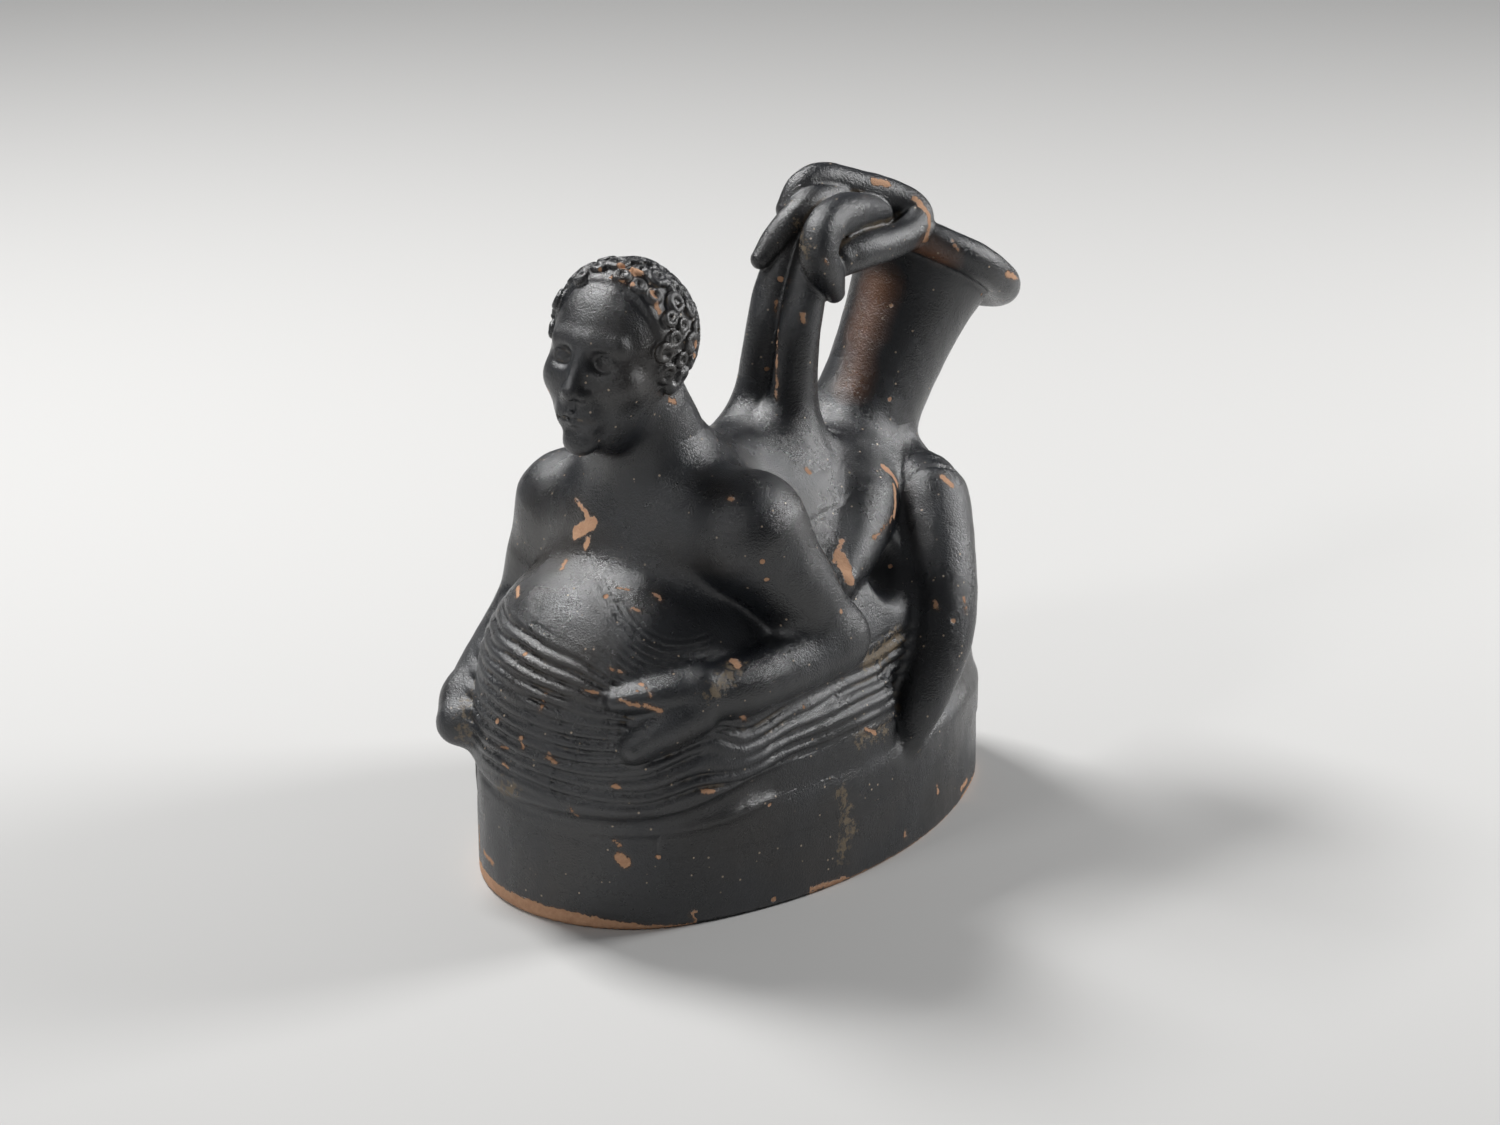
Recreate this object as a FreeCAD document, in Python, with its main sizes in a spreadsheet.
import FreeCAD, Part
import math
import os
import Sketcher
from FreeCAD import Placement, Rotation, Vector

# A figural askos: an oval oil pot of fired clay. On its drum a figure lies hugging a swollen skin bag.
# A flared spout rises from the rear, and two clay rolls rise from the back and are tied in a knot
# against the spout's lip. Nothing moves. Millimetres, front is -Y, up is +Z, and the origin is the
# centre of the foot's underside.
doc = FreeCAD.newDocument("askos")
sheet = doc.addObject("Spreadsheet::Sheet", "sizes")

# Single sizes
sizes = {
    "wall": 5.0,
    # the drum, an oval of four tangent arcs
    "foot_half_width": 51.3,
    "foot_half_length": 82.0,
    "foot_end_radius": 41.5,
    "foot_rounding": 1.5,
    "drum_height": 26.0,
    # the swollen front of the bag
    "bag_across": 41.5,
    "bag_along": 47.5,
    "bag_upright": 38.0,
    "bag_x": 3.0,
    "bag_y": -39.0,
    "bag_z": 56.0,
    # the bag's slack lower part, an oval that overhangs the drum
    "slack_half_width": 45.5,
    "slack_half_length": 48.5,
    "slack_end_radius": 44.0,
    "slack_x": 2.5,
    "slack_y": -38.0,
    "slack_z": 22.0,
    "slack_height": 38.0,
    "slack_rounding": 15.0,
    # the head, which is turned a little to the figure's left and tilted back
    "head_x": 1.0,
    "head_y": -46.0,
    "head_z": 144.0,
    "head_turn": 10.0,
    "head_tilt": 10.0,
    "neck_back_z": 100.0,
    "neck_low_radius": 18.0,
    "neck_high_radius": 14.6,
    "neck_lean": 21.5,
    "neck_length": 32.0,
    "head_split_y": 3.0,
    "hair_thickness": 1.4,
    "hairline_y": -4.6,
    "hairline_z": 0.0,
    "hairline_slope": 12.4,
    "nape_z": -11.0,
    "head_cutter": 60.0,
    "curl_radius": 4.6,
    "curl_rise": 1.5,
    # the spout, thrown on its own leaning axis
    "spout_y": 47.5,
    "spout_z": 92.4,
    "spout_lean": 34.5,
    "spout_length": 60.0,
    "spout_bore_radius": 9.0,
    "spout_bore_length": 46.0,
    "spout_waist_radius": 15.0,
    "spout_waist_height": 17.0,
    "spout_root_radius": 20.0,
    "spout_root_depth": 8.0,
    "spout_mouth_radius": 17.4,
    "spout_rim_radius": 20.6,
    "lip_ring_radius": 22.6,
    "lip_roll_radius": 5.2,
}

# The hollow dome above the drum, as ovals: height, half width, half length, end radius and centre
dome_ovals = [
    (26.0, 51.3, 82.0, 41.5, 0.0),
    (29.0, 49.4, 81.9, 40.4, 0.0),
    (33.0, 47.6, 81.6, 39.4, 0.0),
    (40.0, 46.8, 81.3, 38.8, 0.0),
    (49.0, 46.6, 80.6, 38.6, 0.2),
    (59.0, 45.2, 77.4, 37.4, 1.0),
    (69.0, 41.4, 71.0, 34.6, 3.0),
    (79.0, 35.0, 61.0, 29.5, 7.0),
    (89.0, 25.6, 47.0, 21.5, 12.0),
    (97.0, 12.0, 29.0, 10.0, 18.0),
]

# Limbs and trunk: tapered forms with round ends, as x, y, z and radius at either end
limbs = {
    "trunk": ((0, 24, 80, 22.5), (1, -28, 89.5, 27)),
    "trunk_hollow": ((0, 20, 80, 17), (1, -20, 88, 18)),
    "nape": ((0, -18, 102, 12), (0, 10, 100, 11)),
    "shoulders": ((-28, -31, 93, 14.5), (32, -31.5, 100.5, 15.5)),
    "left_upper_arm": ((34, -32, 99.5, 14.6), (45.5, -15, 70, 9.4)),
    "left_forearm": ((46, -14, 68.5, 9.2), (41, -56, 64.5, 7.4)),
    "left_hand": ((39.5, -60, 63.5, 7), (30.5, -75, 57, 5.4)),
    "right_upper_arm": ((-31, -31, 90.5, 13.6), (-39, -36, 66.5, 9.4)),
    "right_forearm": ((-39.5, -38, 64, 9.2), (-37, -61, 47.5, 7.4)),
    "right_hand": ((-36, -65, 46, 7.4), (-30.5, -74.5, 42, 6.2)),
    "left_thigh": ((26, 49, 84, 11), (41, 37, 66.5, 9.4)),
    "left_shin": ((41.5, 36, 65, 9.2), (49, 17.5, 41.5, 7.4)),
}

# The handle's stems, as round stations along a centre line: x, y, z and radius
rolls = {
    "handle_stem_left": [(4.5, 12, 94, 13), (5, 15.5, 106, 8.4), (5.1, 17.5, 117, 6.2),
                         (5, 20, 131, 5.6), (4.8, 24, 146, 5.4), (3.5, 30.5, 160, 4.4)],
    "handle_stem_right": [(-4.5, 11, 94, 13), (-5.1, 14.5, 106, 8.6), (-5.3, 16.5, 117, 6.4),
                          (-5.1, 19, 131, 5.8), (-4.9, 23, 146, 5.6), (-4, 29.5, 160, 4.4)],
}

# Clay rolls of one thickness: the radius, then the corners of the centre line, which are rounded
bent_rolls = {
    "handle_back_rib": (2.5, [(7.6, 26.5, 90), (7.6, 23.5, 112), (6.8, 29, 147.5)]),
    "knot_top_loop": (4.2, [(-7.5, 30.5, 158.5), (-7.5, 34, 168.5), (-5.2, 42.5, 172.6), (-0.5, 60, 164.6),
                            (3, 70.5, 158.6), (6.5, 68, 151), (8.4, 50, 151.6), (7.6, 37, 150.6)]),
    "knot_front_loop": (5.0, [(1, 57, 158), (3.5, 48, 162.8), (8.5, 29, 166.4), (10.8, 21.6, 157.3),
                              (10.4, 26.5, 148), (8.2, 34.4, 142.7)]),
    "knot_tail": (3.9, [(-6, 18.5, 152.5), (-5.2, 22, 159), (-3, 30, 165), (-1, 45, 166.5)]),
}

# Modelled swellings of the head, in its own frame: centre x, y, z and radii across, deep and high
head_forms = {
    "cranium": (0, 2.5, 6.3, 17.6, 18.8, 17.6),
    "jaw": (0, -4.2, -6.2, 14, 14.4, 18.6),
    "brow": (0, -14.8, 4.6, 10.5, 3.4, 2.6),
    "nose_bridge": (0, -18.4, -2.6, 2.3, 2.7, 7.2),
    "nose_tip": (0, -20, -8.4, 3.7, 3, 2.7),
    "lips": (0, -17.4, -14.8, 5.8, 2.6, 2.5),
    "chin": (0, -14.6, -21.2, 5.4, 4, 3.9),
    "left_eye": (5.9, -14.6, 0.2, 3.3, 3, 2.3),
    "right_eye": (-5.9, -14.6, 0.2, 3.3, 3, 2.3),
    "left_ear": (15.6, 1, -3, 2, 3.6, 6),
    "right_ear": (-15.6, 1, -3, 2, 3.6, 6),
}

row = 0


# A driving dimension goes into the sheet under its own name
def put(name, number):
    global row
    row += 1
    sheet.set("A%d" % row, name)
    sheet.set("B%d" % row, str(number))
    sheet.setAlias("B%d" % row, name)


for name, number in sizes.items():
    put(name, number)
for i, oval_row in enumerate(dome_ovals, start=1):
    for word, number in zip(("height", "width", "length", "end", "centre"), oval_row):
        put("dome_%s_%d" % (word, i), number)
for name, ends in limbs.items():
    for i, end in enumerate(ends, start=1):
        for word, number in zip("xyzr", end):
            put("%s_%s_%d" % (name, word, i), number)
for name, stations in rolls.items():
    for i, station in enumerate(stations, start=1):
        for word, number in zip("xyzr", station):
            put("%s_%s_%d" % (name, word, i), number)
for name, (radius, corners) in bent_rolls.items():
    put(name + "_radius", radius)
    for i, corner in enumerate(corners, start=1):
        for word, number in zip("xyz", corner):
            put("%s_%s_%d" % (name, word, i), number)
for name, form in head_forms.items():
    for word, number in zip(("x", "y", "z", "across", "deep", "high"), form):
        put("%s_%s" % (name, word), number)
doc.recompute()


def size(name):
    return float(sheet.get(name))


pieces = []


# A piece that is written to a file of its own, under its label
def keep(obj, label):
    obj.Label = label
    pieces.append(obj)


def bind(obj, formulas):
    for prop, formula in formulas.items():
        obj.setExpression(prop, formula)


def fuse(name, *shapes):
    obj = doc.addObject("Part::MultiFuse", name)
    obj.Shapes = list(shapes)
    return obj


def cut(name, base, *tools):
    for i, tool in enumerate(tools, start=1):
        obj = doc.addObject("Part::Cut", "%s_cut_%d" % (name, i))
        obj.Base = base
        obj.Tool = tool
        base = obj
    return base


def new_sketch(body, name, plane="XY_Plane", offset=Placement()):
    sketch = body.newObject("Sketcher::SketchObject", name)
    support = next(feature for feature in body.Origin.OriginFeatures if feature.Role == plane)
    sketch.AttachmentSupport = (support, [""])
    sketch.MapMode = "FlatFace"
    sketch.AttachmentOffset = offset
    return sketch


def constrain(sketch, constraint, formula=None):
    index = sketch.addConstraint(constraint)
    if formula:
        sketch.setExpression("Constraints[%d]" % index, formula)


# An oval of four arcs that meet in tangents. The sizes are formulas, so it follows the sheet.
def draw_oval(sketch, width, length, end, centre="0", inset="0"):
    a, b, r, y, less = (float(sketch.evalExpression(f)) for f in (width, length, end, centre, inset))
    side = (a * a + b * b - 2 * b * r) / (2 * (a - r))
    turn = math.atan2(b - r, side - a)
    axis = Vector(0, 0, 1)
    arcs = [
        (Vector(a - side, y, 0), side - less, -turn, turn),
        (Vector(0, y + b - r, 0), r - less, turn, math.pi - turn),
        (Vector(side - a, y, 0), side - less, math.pi - turn, math.pi + turn),
        (Vector(0, y - b + r, 0), r - less, math.pi + turn, 2 * math.pi - turn),
    ]
    for middle, radius, start, stop in arcs:
        sketch.addGeometry(Part.ArcOfCircle(Part.Circle(middle, axis, radius), start, stop))
    for i in range(4):
        constrain(sketch, Sketcher.Constraint("Tangent", i, 2, (i + 1) % 4, 1))
    words = {"a": width, "b": length, "r": end}
    side_formula = "(({a})^2 + ({b})^2 - 2 * ({b}) * ({r})) / (2 * (({a}) - ({r})))".format(**words)
    for i, sign in ((1, 1), (3, -1)):
        constrain(sketch, Sketcher.Constraint("PointOnObject", i, 3, -2))
        middle_formula = "(%s) + %d * ((%s) - (%s))" % (centre, sign, length, end)
        middle_y = y + sign * (b - r)
        constrain(sketch, Sketcher.Constraint("DistanceY", -1, 1, i, 3, middle_y), middle_formula)
        constrain(sketch, Sketcher.Constraint("Radius", i, r - less), "(%s) - (%s)" % (end, inset))
    for i in (0, 2):
        constrain(sketch, Sketcher.Constraint("Radius", i, side - less),
                  "%s - (%s)" % (side_formula, inset))


foot_oval = ("sizes.foot_half_width", "sizes.foot_half_length", "sizes.foot_end_radius")
slack_oval = ("sizes.slack_half_width", "sizes.slack_half_length", "sizes.slack_end_radius")


def pad(body, name, height, inset="0", oval=foot_oval):
    sketch = new_sketch(body, name + "_outline")
    draw_oval(sketch, *oval, inset=inset)
    feature = body.newObject("PartDesign::Pad", name)
    feature.Profile = sketch
    feature.setExpression("Length", height)
    doc.recompute()
    return feature


# The level edges of a pad that lie at the given heights are rounded
def round_rims(body, name, feature, radius, levels):
    fillet = body.newObject("PartDesign::Fillet", name)
    rims = []
    for i, edge in enumerate(feature.Shape.Edges, start=1):
        low, high = edge.BoundBox.ZMin, edge.BoundBox.ZMax
        if any(abs(low - level) < 0.001 and abs(high - level) < 0.001 for level in levels):
            rims.append("Edge%d" % i)
    fillet.Base = (feature, rims)
    fillet.setExpression("Radius", radius)
    doc.recompute()


# The drum's full outline, as a block that other pieces are cut to
drum_block = doc.addObject("PartDesign::Body", "drum_block")
pad(drum_block, "drum_full", "sizes.drum_height")

# The drum's wall: the block, its foot edge rounded, and its inside taken out
base_wall = doc.addObject("PartDesign::Body", "base_wall_body")
wall_pad = pad(base_wall, "wall_block", "sizes.drum_height")
round_rims(base_wall, "foot_edge", wall_pad, "sizes.foot_rounding", [0])
inside_sketch = new_sketch(base_wall, "wall_inside")
draw_oval(inside_sketch, *foot_oval, inset="sizes.wall")
inside_pocket = base_wall.newObject("PartDesign::Pocket", "wall_hollow")
inside_pocket.Profile = inside_sketch
inside_pocket.Type = "ThroughAll"
inside_pocket.Reversed = True
doc.recompute()
keep(base_wall, "base_wall")

# The slab that closes the foot
base_floor = doc.addObject("PartDesign::Body", "base_floor_body")
pad(base_floor, "floor_slab", "sizes.wall", inset="sizes.wall")
keep(base_floor, "base_floor")

# The reservoir inside the drum
drum_hollow = doc.addObject("PartDesign::Body", "drum_hollow")
pad(drum_hollow, "drum_inside", "sizes.drum_height", inset="sizes.wall")


# The dome is lofted through ovals; its inside is the same loft, one wall smaller
def dome(name, inset):
    body = doc.addObject("PartDesign::Body", name)
    sections = []
    for i, oval_row in enumerate(dome_ovals, start=1):
        level = Placement(Vector(0, 0, oval_row[0]), Rotation())
        sketch = new_sketch(body, "%s_oval_%d" % (name, i), offset=level)
        lower = "0" if i < len(dome_ovals) or inset == "0" else inset
        sketch.setExpression("AttachmentOffset.Base.z", "sizes.dome_height_%d - %s" % (i, lower))
        cells = ["sizes.dome_%s_%d" % (word, i) for word in ("width", "length", "end", "centre")]
        draw_oval(sketch, *cells, inset=inset)
        sections.append(sketch)
    loft = body.newObject("PartDesign::AdditiveLoft", name + "_loft")
    loft.Profile = sections[0]
    loft.Sections = sections[1:]
    doc.recompute()
    return body


dome_block = dome("dome_block", "0")
dome_hollow = dome("dome_hollow", "sizes.wall")


def ellipsoid(name, placement, across, deep, high):
    obj = doc.addObject("Part::Ellipsoid", name)
    bind(obj, {"Radius2": across, "Radius3": deep, "Radius1": high})
    obj.Placement = placement
    return obj


# A limb is turned about its own centre line: a ball at either end and the tangent taper between
def limb(name):
    body = doc.addObject("PartDesign::Body", name + "_block")
    start, stop = (Vector(*end[:3]) for end in limbs[name])
    r1, r2 = (end[3] for end in limbs[name])
    length = start.distanceToPoint(stop)
    lean = math.asin((r1 - r2) / length)
    sketch = new_sketch(body, name + "_half", "XZ_Plane")
    axis = Vector(0, 0, 1)
    low = Vector(0, 0, 0)
    high = Vector(0, length, 0)
    side = Vector(math.cos(lean), math.sin(lean), 0)
    sketch.addGeometry(Part.ArcOfCircle(Part.Circle(low, axis, r1), -math.pi / 2, lean))
    sketch.addGeometry(Part.LineSegment(low + side * r1, high + side * r2))
    sketch.addGeometry(Part.ArcOfCircle(Part.Circle(high, axis, r2), lean, math.pi / 2))
    sketch.addGeometry(Part.LineSegment(Vector(0, length + r2, 0), Vector(0, -r1, 0)))
    constrain(sketch, Sketcher.Constraint("Coincident", 0, 3, -1, 1))
    constrain(sketch, Sketcher.Constraint("PointOnObject", 2, 3, -2))
    constrain(sketch, Sketcher.Constraint("Tangent", 0, 2, 1, 1))
    constrain(sketch, Sketcher.Constraint("Tangent", 1, 2, 2, 1))
    constrain(sketch, Sketcher.Constraint("Coincident", 2, 2, 3, 1))
    constrain(sketch, Sketcher.Constraint("Coincident", 3, 2, 0, 1))
    constrain(sketch, Sketcher.Constraint("PointOnObject", 0, 1, -2))
    constrain(sketch, Sketcher.Constraint("PointOnObject", 2, 2, -2))
    constrain(sketch, Sketcher.Constraint("Radius", 0, r1), "sizes.%s_r_1" % name)
    constrain(sketch, Sketcher.Constraint("Radius", 2, r2), "sizes.%s_r_2" % name)
    squares = ["(sizes.{0}_{1}_2 - sizes.{0}_{1}_1)^2".format(name, word) for word in "xyz"]
    constrain(sketch, Sketcher.Constraint("DistanceY", -1, 1, 2, 3, length),
              "sqrt(%s)" % " + ".join(squares))
    feature = body.newObject("PartDesign::Revolution", name + "_turned")
    feature.Profile = sketch
    feature.ReferenceAxis = (sketch, ["V_Axis"])
    feature.Angle = 360
    body.Placement = Placement(start, Rotation(axis, stop - start))
    doc.recompute()
    return body


# A roll is lofted through round stations that stand square to its centre line
def roll(name):
    stations = rolls[name]
    body = doc.addObject("PartDesign::Body", name + "_block")
    points = [Vector(*station[:3]) for station in stations]
    tangents = [
        (points[min(i + 1, len(points) - 1)] - points[max(i - 1, 0)]).normalize()
        for i in range(len(points))
    ]
    rings = []
    for i, (station, tangent) in enumerate(zip(stations, tangents), start=1):
        turn = Rotation(Vector(0, 0, 1), tangent)
        sketch = new_sketch(body, "%s_ring_%d" % (name, i), offset=Placement(Vector(), turn))
        for word in "xyz":
            sketch.setExpression("AttachmentOffset.Base." + word, "sizes.%s_%s_%d" % (name, word, i))
        sketch.addGeometry(Part.Circle(Vector(), Vector(0, 0, 1), station[3]))
        constrain(sketch, Sketcher.Constraint("Coincident", 0, 3, -1, 1))
        radius = Sketcher.Constraint("Radius", 0, station[3])
        constrain(sketch, radius, "sizes.%s_r_%d" % (name, i))
        rings.append(sketch)
    loft = body.newObject("PartDesign::AdditiveLoft", name + "_loft")
    loft.Profile = rings[0]
    loft.Sections = rings[1:]
    doc.recompute()
    return body


# A block with its flat ends rounded off. Each end is picked by the point at its middle.
end_rounding = 0.85


def round_ends(block, radius_of_end):
    obj = doc.addObject("Part::Fillet", block.Name + "_rounded")
    obj.Base = block
    edges = block.Shape.Edges
    rounded = []
    for face in block.Shape.Faces:
        if face.Surface.TypeId != "Part::GeomPlane":
            continue
        for point, radius in radius_of_end:
            if face.CenterOfMass.distanceToPoint(point) < radius / 2:
                for rim in face.Edges:
                    number = next(i for i, edge in enumerate(edges, start=1) if edge.isSame(rim))
                    rounded.append((number, end_rounding * radius, end_rounding * radius))
    obj.Edges = rounded
    doc.recompute()
    return obj


# The centre line of a bent roll: straight runs joined by tangent arcs, each as wide as its runs allow
run_share = 0.48


def centre_line(name):
    count = len(bent_rolls[name][1])
    corners = [
        Vector(*(size("%s_%s_%d" % (name, word, i)) for word in "xyz")) for i in range(1, count + 1)
    ]
    edges = []
    start = corners[0]
    for before, corner, after in zip(corners, corners[1:], corners[2:]):
        back = before - corner
        on = after - corner
        reach = run_share * min(back.Length, on.Length)
        back.normalize()
        on.normalize()
        middle = (back + on).normalize()
        half = back.getAngle(on) / 2
        bend = reach * math.tan(half)
        enter = corner + back * reach
        leave = corner + on * reach
        top = corner + middle * (bend / math.sin(half) - bend)
        print("%s bend radius %.1f" % (name, bend))
        edges.append(Part.LineSegment(start, enter).toShape())
        edges.append(Part.Arc(enter, top, leave).toShape())
        start = leave
    edges.append(Part.LineSegment(start, corners[-1]).toShape())
    return Part.Wire(edges)


# A bent roll is a circle swept along its centre line, with its ends rounded off
def bent_roll(name):
    line = doc.addObject("Part::Feature", name + "_line")
    line.Shape = centre_line(name)
    first = line.Shape.Edges[0]
    circle = doc.addObject("Part::Circle", name + "_circle")
    circle.setExpression("Radius", "sizes.%s_radius" % name)
    circle.Placement = Placement(
        first.valueAt(first.FirstParameter),
        Rotation(Vector(0, 0, 1), first.tangentAt(first.FirstParameter)),
    )
    sweep = doc.addObject("Part::Sweep", name + "_sweep")
    sweep.Sections = [circle]
    sweep.Spine = (line, ["Edge%d" % i for i in range(1, len(line.Shape.Edges) + 1)])
    sweep.Solid = True
    doc.recompute()
    radius = size(name + "_radius")
    ends = [line.Shape.Edges[0].firstVertex(True).Point, line.Shape.Edges[-1].lastVertex(True).Point]
    return round_ends(sweep, [(end, radius) for end in ends])


bag_place = Placement(Vector(size("bag_x"), size("bag_y"), size("bag_z")), Rotation())
bag_words = ("sizes.bag_across", "sizes.bag_along", "sizes.bag_upright")
slack = doc.addObject("PartDesign::Body", "bag_slack")
slack_pad = pad(slack, "slack_block", "sizes.slack_height", oval=slack_oval)
round_rims(slack, "slack_rims", slack_pad, "sizes.slack_rounding", [0, size("slack_height")])
slack.Placement = Placement(Vector(size("slack_x"), size("slack_y"), size("slack_z")), Rotation())
bag_block = fuse("bag_block", ellipsoid("bag_swelling", bag_place, *bag_words), slack)
bag_hollow = ellipsoid("bag_hollow", bag_place, *(word + " - sizes.wall" for word in bag_words))

torso_block = fuse("torso_block", limb("trunk"), limb("shoulders"), limb("nape"))
torso_hollow = limb("trunk_hollow")

# The spout was thrown on its own axis, which leans back
spout_place = Placement(
    Vector(0, size("spout_y"), size("spout_z")), Rotation(Vector(1, 0, 0), -size("spout_lean"))
)
spout_bore = doc.addObject("Part::Cylinder", "spout_bore")
bind(spout_bore, {"Radius": "sizes.spout_bore_radius", "Height": "sizes.spout_bore_length * 2"})
spout_bore.Placement = spout_place * Placement(Vector(0, 0, -size("spout_bore_length")), Rotation())

reservoir = (drum_hollow, dome_hollow, bag_hollow, torso_hollow, spout_bore)

keep(cut("body", dome_block, *reservoir), "body_shell")
keep(cut("skin", bag_block, drum_block, dome_block, *reservoir), "wineskin")
keep(cut("torso", torso_block, dome_block, bag_block, *reservoir), "torso")

hull = (dome_block, torso_block)


# The spout's wall: a profile turned about the leaning axis, with a true bore and a flared mouth
def profile(body, name, points):
    sketch = new_sketch(body, name, "XZ_Plane")
    numbers = [tuple(float(sketch.evalExpression(f)) for f in point) for point in points]
    for i, (x, y) in enumerate(numbers):
        following = numbers[(i + 1) % len(numbers)]
        sketch.addGeometry(Part.LineSegment(Vector(x, y, 0), Vector(following[0], following[1], 0)))
    for i, point in enumerate(points):
        constrain(sketch, Sketcher.Constraint("Coincident", i, 2, (i + 1) % len(points), 1))
    for i, point in enumerate(points):
        for word, number, formula in zip(("DistanceX", "DistanceY"), numbers[i], point):
            constrain(sketch, Sketcher.Constraint(word, -1, 1, i, 1, number), formula)
    feature = body.newObject("PartDesign::Revolution", name + "_turned")
    feature.Profile = sketch
    feature.ReferenceAxis = (sketch, ["V_Axis"])
    feature.Angle = 360
    doc.recompute()
    return feature


spout_block = doc.addObject("PartDesign::Body", "spout_block")
profile(spout_block, "spout", [
    ("sizes.spout_bore_radius", "-sizes.spout_root_depth"),
    ("sizes.spout_root_radius", "-sizes.spout_root_depth"),
    ("sizes.spout_waist_radius", "sizes.spout_waist_height"),
    ("sizes.spout_rim_radius", "sizes.spout_length"),
    ("sizes.spout_mouth_radius", "sizes.spout_length"),
    ("sizes.spout_bore_radius", "sizes.spout_bore_length"),
])
spout_block.Placement = spout_place
keep(cut("spout", spout_block, *hull), "spout_neck")


# Pieces that are modelled and luted on. Each is cut to what it was pressed against.
def luted(name, block, *seats):
    keep(cut(name, block, *seats), name)
    return block


neck_block = doc.addObject("Part::Cone", "neck_block")
bind(neck_block, {
    "Radius1": "sizes.neck_low_radius",
    "Radius2": "sizes.neck_high_radius",
    "Height": "sizes.neck_length",
})
neck_block.Placement = Placement(
    Vector(size("head_x"), limbs["trunk"][1][1], size("neck_back_z")),
    Rotation(Vector(1, 0, 0), size("neck_lean")),
)
luted("figure_neck", neck_block, torso_block)
front_hull = (torso_block, dome_block, bag_block)
for side in ("left", "right"):
    upper = luted(side + "_upper_arm", limb(side + "_upper_arm"), *front_hull)
    fore = luted(side + "_forearm", limb(side + "_forearm"), upper, *front_hull)
    luted(side + "_hand", limb(side + "_hand"), fore, dome_block, bag_block)


# The rear limbs: the far one is the near one's mirror image
def mirrored(name, source):
    obj = doc.addObject("Part::Mirroring", name)
    obj.Source = source
    obj.Normal = Vector(1, 0, 0)
    return obj


thigh = luted("left_thigh", limb("left_thigh"), dome_block, spout_block)
shin = luted("left_shin", limb("left_shin"), thigh, dome_block, drum_block)
far_thigh = luted("right_thigh", mirrored("far_thigh", thigh), dome_block, spout_block)
luted("right_shin", mirrored("far_shin", shin), far_thigh, dome_block, drum_block)

# The handle's stems and the thin rib behind them rise from the back
stem_left = luted("handle_stem_left", roll("handle_stem_left"), *hull)
stem_right = luted("handle_stem_right", roll("handle_stem_right"), stem_left, *hull)
rib = bent_roll("handle_back_rib")
keep(cut("handle_back_rib", rib, stem_left, stem_right, *hull), "handle_back_rib")

# The knot: the top loop lies on the stems, the front loop hooks under it, and the tail ends free
top_loop = bent_roll("knot_top_loop")
front_loop = bent_roll("knot_front_loop")
tail = bent_roll("knot_tail")
keep(cut("top_loop", top_loop, stem_left, stem_right, rib), "knot_top_loop")
keep(cut("front_loop", front_loop, top_loop, stem_left, rib), "knot_front_loop")
keep(cut("tail", tail, front_loop, top_loop, stem_left, stem_right), "knot_tail")

# The lip: a thick roll laid round the spout's mouth
lip_block = doc.addObject("Part::Torus", "lip_roll")
bind(lip_block, {"Radius1": "sizes.lip_ring_radius", "Radius2": "sizes.lip_roll_radius"})
lip_block.Placement = spout_place * Placement(Vector(0, 0, size("spout_length")), Rotation())
keep(cut("lip", lip_block, spout_block, top_loop, front_loop), "spout_lip")

# The head: swellings of clay pressed together, in two moulded halves, under a cap of hair
head_place = Placement(
    Vector(size("head_x"), size("head_y"), size("head_z")),
    Rotation(Vector(0, 0, 1), size("head_turn")) * Rotation(Vector(1, 0, 0), -size("head_tilt")),
)


def head_form(name, extra="0"):
    words = ["sizes.%s_%s" % (name, word) for word in ("x", "y", "z")]
    middle = Vector(*(size("%s_%s" % (name, word)) for word in ("x", "y", "z")))
    radii = ["sizes.%s_%s + %s" % (name, word, extra) for word in ("across", "deep", "high")]
    return ellipsoid(name, head_place * Placement(middle, Rotation()), *radii)


head_block = fuse("head_block", *(head_form(name) for name in head_forms))


# A block that ends in a plane through a point of the head's frame, on the side that normal names
def head_side(name, point, normal):
    obj = doc.addObject("Part::Box", name)
    bind(obj, {side: "sizes.head_cutter" for side in ("Length", "Width", "Height")})
    half = size("head_cutter") / 2
    turn = Rotation(Vector(0, 0, 1), normal)
    corner = point - turn.multVec(Vector(half, half, 0))
    obj.Placement = head_place * Placement(corner, turn)
    return obj


split = Vector(0, size("head_split_y"), 0)
ahead = head_side("head_ahead", split, Vector(0, -1, 0))
behind = head_side("head_behind", split, Vector(0, 1, 0))
keep(cut("face", head_block, behind, neck_block), "head_front")
keep(cut("occiput", head_block, ahead, neck_block), "head_back")

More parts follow.
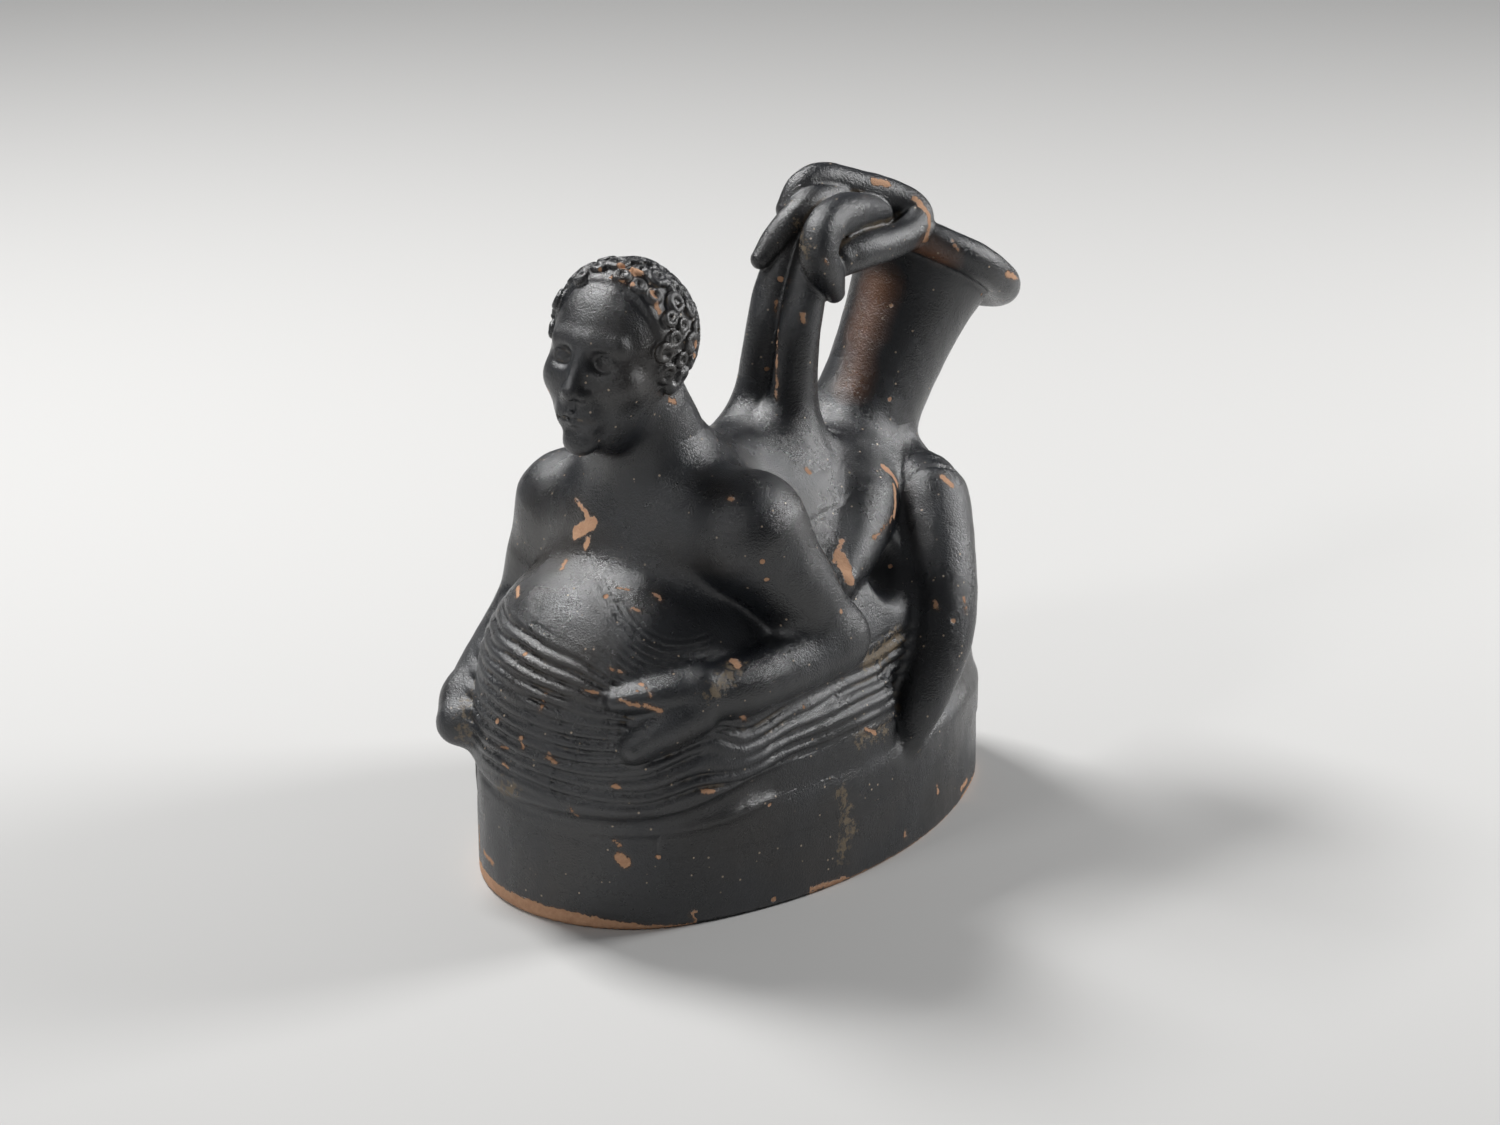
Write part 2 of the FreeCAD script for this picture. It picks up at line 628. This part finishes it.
# The hair: a cap over the cranium, ending at a sloping hairline and at the nape
slope = math.radians(size("hairline_slope"))
hairline = Vector(0, size("hairline_y"), size("hairline_z"))
brow_side = head_side("brow_side", hairline, Vector(0, -math.cos(slope), -math.sin(slope)))
nape_side = head_side("nape_side", Vector(0, 0, size("nape_z")), Vector(0, 0, -1))
hair_block = head_form("cranium", "sizes.hair_thickness")


# Its main curls: knobs of clay in rows from the crown down, as angles from the crown and from the back
curl_rows = [(4, [0]), (41, [0, 62, -62, 124, -124]), (74, [0, 45, -45, 90, -90]), (104, [22, -22, 66, -66])]


def curl(number, down, round_the_head):
    obj = doc.addObject("Part::Sphere", "curl_%d" % number)
    obj.setExpression("Radius", "sizes.curl_radius")
    down, side = math.radians(down), math.radians(round_the_head)
    way = (math.sin(down) * math.sin(side), math.sin(down) * math.cos(side), math.cos(down))
    middle = [size("cranium_" + word) for word in ("x", "y", "z")]
    radii = [size("cranium_" + word) for word in ("across", "deep", "high")]
    sink = size("hair_thickness") + size("curl_rise") - size("curl_radius")
    place = Vector(*(m + w * (r + sink) for m, w, r in zip(middle, way, radii)))
    obj.Placement = head_place * Placement(place, Rotation())
    return obj


curl_places = [(down, side) for down, sides in curl_rows for side in sides]
curls = [curl(i, *place) for i, place in enumerate(curl_places, start=1)]
curly_hair = fuse("curly_hair", hair_block, *curls)
keep(cut("hair", curly_hair, brow_side, nape_side, head_block, neck_block), "hair_cap")
doc.recompute()

# Every object has to be sound before anything is written
unsound = [obj.Name for obj in doc.Objects if "Invalid" in obj.State or "Error" in obj.State]
unsound += [
    piece.Label
    for piece in pieces
    if piece.Shape.isNull() or not piece.Shape.isValid() or len(piece.Shape.Solids) != 1
]
if unsound:
    raise RuntimeError("not sound: " + ", ".join(unsound))
os.makedirs("parts", exist_ok=True)
for piece in pieces:
    piece.Shape.exportStep("parts/%s.step" % piece.Label)
    print("%-20s %7.2f cm3, %d solid" % (piece.Label, piece.Shape.Volume / 1000, len(piece.Shape.Solids)))
